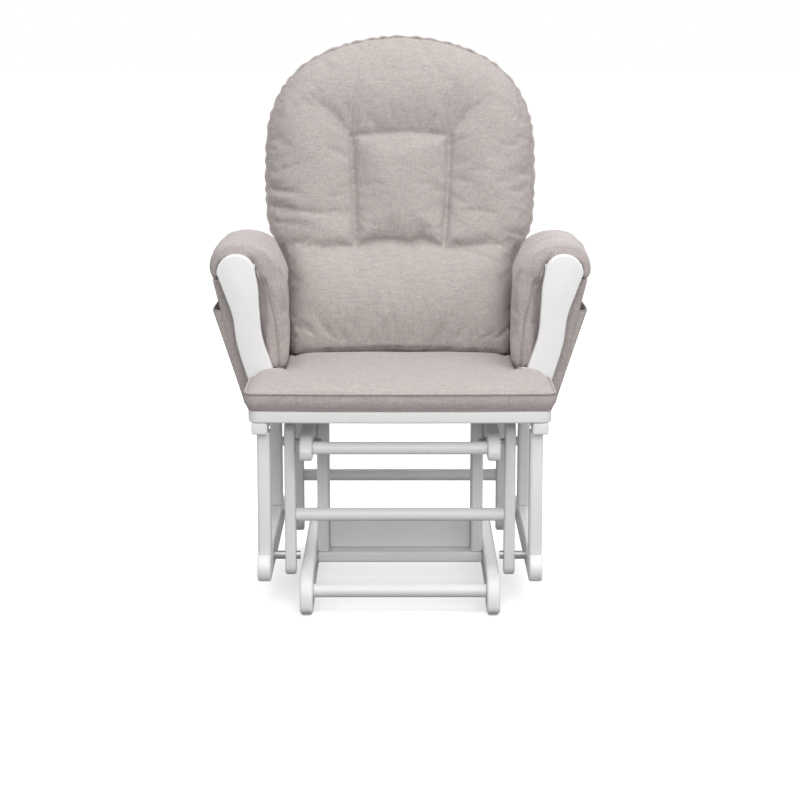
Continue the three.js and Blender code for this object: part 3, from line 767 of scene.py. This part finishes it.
def makeBackCushion():
    pad = backPad
    outline = backOutline()
    n, rings = len(outline), pad["rings"]
    centre = np.array(pad["centre"])
    scale = [1 - (k / rings) ** pad["ringPower"] for k in range(rings)]
    flat = np.concatenate([centre + (outline - centre) * k for k in scale] + [centre[None]])
    away = edgeDistance(flat, outline)
    away[:n] = 0
    xs, ss = flat[:, 0], flat[:, 1]
    thick = np.interp(ss, *zip(*pad["thickness"]))
    nearBottom = smoothstep((pad["lowFrom"] - ss) / pad["lowOver"])
    reach = pad["roundReach"] - pad["lowReach"] * nearBottom
    power = pad["roundPower"]
    rise = (1 - (1 - np.clip(away / reach, 0, 1)) ** power) ** (1 / power)
    seam = pad["seam"] + pad["seamLift"] * nearBottom
    front = seam + (thick - seam) * rise
    front -= creaseDepth(flat, backPulls()) * smoothstep(away / 0.04)
    power = pad["rearPower"]
    fall = (1 - (1 - np.clip(away / pad["rearReach"], 0, 1)) ** power) ** (1 / power)
    rear = seam - (seam - pad["rest"]) * fall
    frontPoints = backPoint(xs, ss - settleOnSeat(ss, front), front)
    rearPoints = backPoint(xs[n:], (ss - settleOnSeat(ss, rear))[n:], rear[n:])
    verts = np.vstack([frontPoints, rearPoints])
    total = len(flat)
    faces = []
    for k in range(rings):
        for i in range(n):
            j = (i + 1) % n
            if k < rings - 1:
                faces.append((k * n + i, k * n + j, (k + 1) * n + j, (k + 1) * n + i))
                a, b = (i, j) if k == 0 else (total - n + k * n + i, total - n + k * n + j)
                faces.append((b, a, total - n + (k + 1) * n + i, total - n + (k + 1) * n + j))
            else:
                faces.append((k * n + i, k * n + j, total - 1))
                faces.append((total - n + k * n + j, total - n + k * n + i, len(verts) - 1))
    cushion = remeshed(outward(newPiece("backCushion", verts, faces)), pad["voxel"])
    x, s, m = backPlaneCoords(settled(cushion))
    plane = np.column_stack([x, s])
    seams = list(panelSeams().values())
    sewn = np.min([pathDistance(plane, line) for line in seams], axis=0)
    held = (sewn < pad["seamHold"]) & (m > 0.04)
    held |= (edgeDistance(plane, outline) < pad["edgeHold"]) | (m < pad["rearHold"])
    held |= (s < pad["footHold"][0]) & (m < pad["footHold"][1])
    inflate(cushion, held, pad["pressure"], pad["cap"], pad["spare"])
    subdivided(cushion)
    x, s, m = backPlaneCoords(settled(cushion))
    plane = np.column_stack([x, s])
    inFront = smoothstep((m - 0.045) / 0.02)
    fine = creaseDepth(plane, backFolds)
    for line, depth in zip(seams, pad["seamDepths"]):
        fine = np.maximum(fine, creaseDepth(plane, [(line, depth, pad["seamWidth"], (1.0, 1.0))]))
    edge = edgeDistance(plane, outline)
    angle = np.arctan2(s - 0.35, x)
    gather = pad["gather"] * np.sin(angle * 150 + 4 * np.sin(angle * 17)) * np.exp(-edge / pad["gatherReach"])
    uneven = pad["unevenness"] * np.sin(x * 61 + 3) * np.sin(s * 47)
    pushedIn(cushion, (fine + gather + uneven) * inFront)
    addPiece(cushion, "seat", cloth, "upholstery", "back_cushion")
    makeBackWelt(outline)


def makeBackWelt(outline):               # gathered piping round the back cushion
    pad = backPad
    length = np.linalg.norm(np.roll(outline, -1, axis=0) - outline, axis=1).sum()
    line = evenly(outline, int(length / pad["ripple"] * 10), closed=True)
    centre = np.array(pad["centre"])
    t = np.arange(len(line)) / len(line) * length
    beat = 2 * math.pi * t / pad["ripple"] + 1.3 * np.sin(t * 31) + 0.9 * np.sin(t * 83 + 1)
    unit = line - centre
    unit /= np.linalg.norm(unit, axis=1)[:, None]
    line = line + unit * (pad["rippleDepth"] * np.sin(beat) - pad["weltSet"])[:, None]
    seam = pad["seam"] + pad["seamLift"] * smoothstep((pad["lowFrom"] - line[:, 1]) / pad["lowOver"])
    seam = seam + 0.0009 * np.sin(beat * 0.5 + 1)
    points = backPoint(line[:, 0], line[:, 1] - settleOnSeat(line[:, 1], seam), seam)
    addPiece(tube("backCushionWelt", points, pad["weltRadius"], sides=8), "seat", cloth, "upholstery")


makeBackCushion()
print("back cushion ready")


seatPad = {"frontHalf": 0.280, "rearHalf": 0.221, "front": -0.006, "earRear": 0.166, "rear": 0.466,
           "corner": 0.017, "rings": 40, "around": 320, "centre": (0.0, 0.150),
           "seamHeight": 0.032, "crown": 0.016, "boxing": 7, "bulge": 0.0032, "earRise": 0.0055,
           "tuck": 0.0060, "tuckPower": 2.5, "welt": 0.0025, "lowerWelt": 0.0016, "weltOut": 0.0012,
           "lowerWeltIn": 0.0050, "restGap": 0.0005, "ringPower": 0.95, "edgeRound": 0.017,
           "softRise": 0.003, "softReach": 0.060, "pressedFrom": 0.345, "pressedOver": 0.045, "pressed": 0.0035,
           "unevenness": 0.0010, "underRings": 8}


def seatOutline():
    p = seatPad
    r = p["corner"]
    f, b, a = p["frontHalf"], p["rearHalf"], p["earRear"]

    def corner(cx, cy, start, stop, radius=r):
        return [(cx + radius * math.cos(t), cy + radius * math.sin(t)) for t in np.linspace(start, stop, 7)]

    right = [(0.0, p["front"]), (0.14, p["front"] + 0.0015)]
    right += corner(f - r, p["front"] + 0.006 + r, -math.pi / 2, 0)
    right += corner(f - r, a - r, 0, math.pi / 2)
    right += [(b + 0.012, a), (b + 0.003, a + 0.004), (b, a + 0.014)]
    right += corner(b - r, p["rear"] - r, 0, math.pi / 2)
    left = [(-x, y) for x, y in reversed(right[1:])]
    loop = np.array(right + [(0.0, p["rear"])] + left)
    return evenly(loop, p["around"], closed=True)


def makeSeatCushion():
    p = seatPad
    outline = seatOutline()
    n = len(outline)
    centre = np.array(p["centre"])
    ways = np.roll(outline, -1, axis=0) - np.roll(outline, 1, axis=0)
    ways /= np.linalg.norm(ways, axis=1)[:, None]
    normal = np.stack([ways[:, 1], -ways[:, 0]], axis=1)
    low = seatTop + p["restGap"]
    seam = seatTop + p["seamHeight"]
    rows = []
    for k in range(p["boxing"] + 1):     # the boxing, from the bottom edge up to the seam
        t = k / p["boxing"]
        swell = p["bulge"] * math.sin(math.pi * t) - p["tuck"] * (1 - t) ** p["tuckPower"]
        ring = outline + normal * swell
        rows.append(np.column_stack([ring, np.full(n, low + (seam - low) * t)]))
    scale = [1 - (k / p["rings"]) ** p["ringPower"] for k in range(1, p["rings"])]
    flats = [centre + (outline - centre) * k for k in scale]
    flat = np.concatenate(flats + [centre[None]])
    away = edgeDistance(flat, outline[::2])
    pressed = smoothstep((flat[:, 1] - p["pressedFrom"]) / p["pressedOver"])    # level under the back cushion
    soft = 1 - np.exp(-away / p["softReach"])
    ear = smoothstep((flat[:, 1] - 0.120) / 0.040) * smoothstep((np.abs(flat[:, 0]) - 0.205) / 0.02)
    away = away + 0.022 * ear * smoothstep((0.275 - np.abs(flat[:, 0])) / 0.02)   # plump behind, by the posts
    height = p["crown"] * (1 - np.exp(-away / p["edgeRound"])) + p["softRise"] * soft
    height += p["earRise"] * ear * smoothstep((0.272 - np.abs(flat[:, 0])) / 0.035)
    height = height * (1 - pressed) + np.minimum(height, p["pressed"] * soft) * pressed
    uneven = p["unevenness"] * np.sin(flat[:, 0] * 47 + 1)
    height += uneven * np.sin(flat[:, 1] * 53) * smoothstep(away / 0.05)
    top = np.column_stack([flat, seam + height])
    unders = p["underRings"]
    bottomFlat = [np.column_stack([centre + (outline - centre) * (1 - k / unders), np.full(n, low)])
                  for k in range(1, unders)]
    verts = np.vstack(rows + [top] + bottomFlat + [np.array([[*centre, low]])])
    verts[:, 1] += seatFront
    faces = []
    topStart, boxing = n * (p["boxing"] + 1), p["boxing"]
    rings = p["rings"]

    def strip(a, b):
        for i in range(n):
            j = (i + 1) % n
            faces.append((a + i, a + j, b + j, b + i))

    def fan(a, tip):
        for i in range(n):
            faces.append((a + i, a + (i + 1) % n, tip))

    for k in range(boxing):
        strip(k * n, (k + 1) * n)
    strip(boxing * n, topStart)
    for k in range(rings - 2):
        strip(topStart + k * n, topStart + (k + 1) * n)
    tip = topStart + (rings - 1) * n
    fan(topStart + (rings - 2) * n, tip)
    under = tip + 1
    strip(0, under)
    for k in range(unders - 2):
        strip(under + k * n, under + (k + 1) * n)
    fan(under + (unders - 2) * n, under + (unders - 1) * n)
    cushion = outward(newPiece("seatCushion", verts, faces))
    addPiece(cushion, "seat", cloth, "upholstery", "seat_cushion")
    line = np.column_stack([outline + normal * p["weltOut"], np.full(n, seam + 0.0006)])
    line[:, 1] += seatFront
    addPiece(tube("seatCushionWelt", line, p["welt"]), "seat", cloth, "upholstery")
    lower = np.column_stack([outline - normal * p["lowerWeltIn"], np.full(n, low + 0.0018)])
    lower[:, 1] += seatFront
    # the lower welt wears the darker cloth: painted shade along the bottom seam
    addPiece(tube("seatCushionLowerWelt", lower, p["lowerWelt"]), "seat", shadedSeamCloth, "upholstery")


makeSeatCushion()
print("seat cushion ready")


armPad = {
    "section": [(0.2515, 0.4355), (0.2360, 0.4340), (0.2180, 0.4355), (0.2150, 0.4440), (0.2145, 0.4700),
                (0.2160, 0.5300), (0.2190, 0.5900), (0.2290, 0.6310), (0.2480, 0.6570),
                (0.2780, 0.6690), (0.3120, 0.6715),
                (0.3380, 0.6660), (0.3530, 0.6510), (0.3580, 0.6310), (0.3570, 0.6110), (0.3520, 0.6025),
                (0.3440, 0.6040), (0.3435, 0.6150), (0.3435, 0.6350), (0.3360, 0.6362), (0.3100, 0.6362),
                (0.2780, 0.6362), (0.2720, 0.6345), (0.2716, 0.6150), (0.2690, 0.5700), (0.2640, 0.5100),
                (0.2580, 0.4600)],
    "around": 180, "stations": 70, "voxel": 0.0050, "hidden": 0.0068, "frames": 14, "taper": 0.010,
    "pressure": 4.0, "cap": 0.013, "innerCap": 0.004, "spare": 0.020, "shadowGap": 0.012,
    "frontWelt": [(0.283, 0.6500), (0.2730, 0.6370), (0.2640, 0.6190), (0.2545, 0.5950), (0.2460, 0.5700),
                  (0.2385, 0.5420), (0.2335, 0.5100), (0.2300, 0.4750), (0.2290, 0.4400)],
    "weltRadius": 0.0016, "weltCount": 90, "grooveDepth": 0.0022, "grooveWidth": 0.0035, "grooveReach": 0.035,
    "unevenness": 0.0011, "restFrom": 16,
}


def sideOn(places):      # points seen along the arm: distance from the middle, and height
    return np.column_stack([np.abs(places[:, 0]), places[:, 2]])


def makeArmPads():
    p = armPad
    section = evenly(np.array(p["section"]), p["around"], closed=True)
    wood = np.array(p["section"][p["restFrom"]:] + p["section"][:1])      # the stretch that lies on the wood
    for label, side in sides:
        low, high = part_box("arm_pad_" + label)
        y0, y1 = low.y + 0.0004, high.y
        n, count = len(section), p["stations"]
        innerFace = smoothstep((0.258 - section[:, 0]) / 0.03) * p["taper"]
        rows = [np.column_stack([side * (section[:, 0] + innerFace * t), np.full(n, y0 + (y1 - y0) * t),
                                 section[:, 1]]) for t in np.linspace(0, 1, count)]
        faces = [(k * n + i, k * n + (i + 1) % n, (k + 1) * n + (i + 1) % n, (k + 1) * n + i)
                 for k in range(count - 1) for i in range(n)]
        faces += [tuple(range(n)), tuple((count - 1) * n + i for i in range(n))]
        pad = outward(newPiece("armPad" + label.capitalize(), np.vstack(rows), faces))
        remeshed(pad, p["voxel"])
        places = settled(pad)
        ends = np.minimum(places[:, 1] - y0, y1 - places[:, 1])
        clear = clearWeight(pathDistance(sideOn(places), wood))
        upper = smoothstep((places[:, 2] - 0.60) / 0.03)
        relaxed(pad, clear * np.clip(1.1 - ends / (0.020 + 0.018 * upper), 0.03, 1), factor=0.6, repeat=22)
        places = settled(pad)
        flap = smoothstep((0.612 - places[:, 2]) / 0.02)
        flap = flap * smoothstep((np.abs(places[:, 0]) - 0.246) / 0.016)
        nearFront = np.clip(1 - (places[:, 1] - y0) / 0.03, 0, 1)
        places[:, 1] += p["shadowGap"] * flap * nearFront      # the flap stands off the post
        moveTo(pad, places)
        ends = np.minimum(places[:, 1] - y0, y1 - places[:, 1])
        held = (pathDistance(sideOn(places), wood) < p["hidden"]) | (ends < 0.003)
        inner = smoothstep((0.63 - places[:, 2]) / 0.06) * (np.abs(places[:, 0]) < 0.27)
        inflate(pad, held, p["pressure"], p["cap"] + (p["innerCap"] - p["cap"]) * inner, p["spare"],
                frames=p["frames"])
        subdivided(pad)
        places = settled(pad)
        close = pathDistance(sideOn(places), p["frontWelt"])
        fromFront = places[:, 1] - y0
        groove = p["grooveDepth"] * np.exp(-(close / p["grooveWidth"]) ** 2) * (fromFront < p["grooveReach"])
        alongY = fromFront / (y1 - y0)
        uneven = p["unevenness"] * np.sin(alongY * 19 + places[:, 2] * 31)
        uneven = uneven * np.sin(places[:, 2] * 57 + side)
        pushedIn(pad, groove + uneven * clearWeight(pathDistance(sideOn(places), wood)))
        addPiece(pad, "seat", cloth, "upholstery", "arm_pad_" + label)
        makeArmWelt(pad, label, side, y0)


def clearWeight(distance):               # 0 on the wood, 1 well away from it
    return smoothstep((distance - 0.004) / 0.010)


def onSurface(piece, origin, direction):
    hit, place, normal, _ = piece.ray_cast(Vector(origin), Vector(direction))
    return (place, normal) if hit else (None, None)


def makeArmWelt(pad, label, side, y0):   # the sewn edge down the front of the pad, in the darker cloth that paints shade along the seam
    pad.data.update()
    line = []
    for x, z in curvePoints(armPad["frontWelt"], 60):
        place, normal = onSurface(pad, (side * x, y0 - 0.1, z), (0, 1, 0))
        if place is not None and place.y < y0 + 0.05:
            line.append(place + normal * (armPad["weltRadius"] * 0.35))
    if len(line) > 6:
        points = np.array([tuple(v) for v in line])
        path = evenly(points, armPad["weltCount"])
        welt = tube("armPadWelt" + label.capitalize(), path, armPad["weltRadius"], closed=False)
        addPiece(welt, "seat", shadedSeamCloth, "upholstery")


makeArmPads()


sidePanel = {"top": 0.604, "hem": 0.366, "outerTop": 0.3515, "outerHem": 0.2950, "thick": 0.009,
             "mouth": 0.544, "pocketTop": 0.3545, "pocketHem": 0.2968, "sheet": 0.0026, "setBack": 0.006,
             "topLine": 0.600, "endSheet": 0.003, "hemRadius": 0.0019, "rearFlat": 0.55, "sag": 0.0035,
             "ripple": 0.0008, "wave": 0.0012, "fineWave": 0.0007}


def onPanel(z):          # |x| of the side panel's outer face at a height
    p = sidePanel
    return p["outerHem"] + (p["outerTop"] - p["outerHem"]) * (z - p["hem"]) / (p["topLine"] - p["hem"])


def onPocket(z):
    p = sidePanel
    return p["pocketHem"] + (p["pocketTop"] - p["pocketHem"]) * (z - p["hem"]) / (p["mouth"] - p["hem"])


def makeSidePanel(label, side, y0, y1):
    p = sidePanel
    ny, nz = 56, 52
    outer, inner = [], []
    for b in np.linspace(0, 1, nz):
        for a in np.linspace(0, 1, ny):
            y, z = y0 + 0.004 + (y1 - y0 - 0.004) * a, p["hem"] + (p["top"] - p["hem"]) * b
            near = (1 - a) * (y1 - y0)
            soft = 1 - math.exp(-near / 0.008)
            wave = p["wave"] * math.sin(9 * a + 5 * b) + p["fineWave"] * math.sin(23 * a - 11 * b)
            wave *= soft
            outer.append((side * (onPanel(z) - 0.0016 * (1 - soft) + wave), y, z))
            inner.append((side * (onPanel(z) - p["thick"]), y, z))
    k = ny * nz
    faces = []
    for a, b, c, d in gridFaces(nz, ny):
        faces += [(a, b, c, d), (k + a, k + d, k + c, k + b)]
    rim = list(range(ny)) + [j * ny + ny - 1 for j in range(1, nz)]
    rim += [(nz - 1) * ny + i for i in range(ny - 2, -1, -1)] + [j * ny for j in range(nz - 2, 0, -1)]
    for i, a in enumerate(rim):
        b = rim[(i + 1) % len(rim)]
        faces.append((a, b, k + b, k + a))
    panel = outward(newPiece("armSidePanel" + label.capitalize(), outer + inner, faces))
    addPiece(panel, "seat", cloth, "upholstery", "arm_pocket_" + label)


def makeEndPanel(label, side, y0):       # front end of the cover, behind the paddle
    p = sidePanel
    across, up = 10, 40
    verts = []
    for z in np.linspace(p["hem"], p["top"], up):
        t = (z - p["hem"]) / (p["top"] - p["hem"])
        for a in np.linspace(0, 1, across):
            x = (0.279 + 0.026 * t) * (1 - a) + (onPanel(z) + 0.0004) * a
            verts.append((side * x, y0 + 0.0016 + 0.0010 * math.sin(math.pi * a), z))
    front = newPiece("armEndPanel" + label.capitalize(), verts, gridFaces(up, across))
    thickened(front, p["endSheet"])
    addPiece(front, "seat", cloth, "upholstery")


def makePocket(label, side, y0, y1):     # an outer sheet with gusset ends, open at the top
    p = sidePanel
    y0 = y0 + 0.0014
    path = [(y0, 0.0), (y0, 0.35), (y0, 0.7), (y0 + 0.0004, 0.92), (y0 + 0.003, 1.0)]
    path += [(y, 1.0) for y in np.linspace(y0 + 0.012, y1 - 0.012, 44)]
    path += [(y1 - 0.003, 1.0), (y1 - 0.0004, 0.92), (y1, 0.7), (y1, 0.35), (y1, 0.0)]
    levels = np.linspace(p["hem"] + 0.001, p["mouth"], 44)
    rows = []
    for z in levels:
        rise = (z - p["hem"]) / (p["mouth"] - p["hem"])
        for y, out in path:
            base = onPanel(z) - 0.0004
            depth = max(0.0005, onPocket(z) - p["sheet"] - base)
            t = (y - y0) / (y1 - y0)
            close = 1 - p["rearFlat"] * t ** 2           # the rear end lies flatter
            sag = p["sag"] * math.sin(math.pi * t) * rise ** 2
            ripple = p["ripple"] * math.sin(13 * t + 6 * rise) * math.sin(math.pi * t)
            rows.append((side * (base + (depth * close + sag + ripple) * out), y, z))
    m = len(path)
    pocket = newPiece("armPocket" + label.capitalize(), rows, gridFaces(len(levels), m))
    thickened(pocket, p["sheet"])
    addPiece(pocket, "seat", cloth, "upholstery", "arm_pocket_" + label)
    top = [Vector(rows[(len(levels) - 1) * m + i]) for i in range(m)]
    hem = tube("armPocketHem" + label.capitalize(), top, p["hemRadius"], closed=False)
    # the hem wears the darker cloth: painted shade at the pocket mouth
    addPiece(hem, "seat", shadedSeamCloth, "upholstery")


def makeArmSides():
    for label, side in sides:
        low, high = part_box("arm_pocket_" + label)
        y0, y1 = low.y + sidePanel["setBack"], high.y
        makeSidePanel(label, side, y0, y1)
        makeEndPanel(label, side, y0)
        makePocket(label, side, y0, y1)


makeArmSides()
print("arm pads and pockets ready")
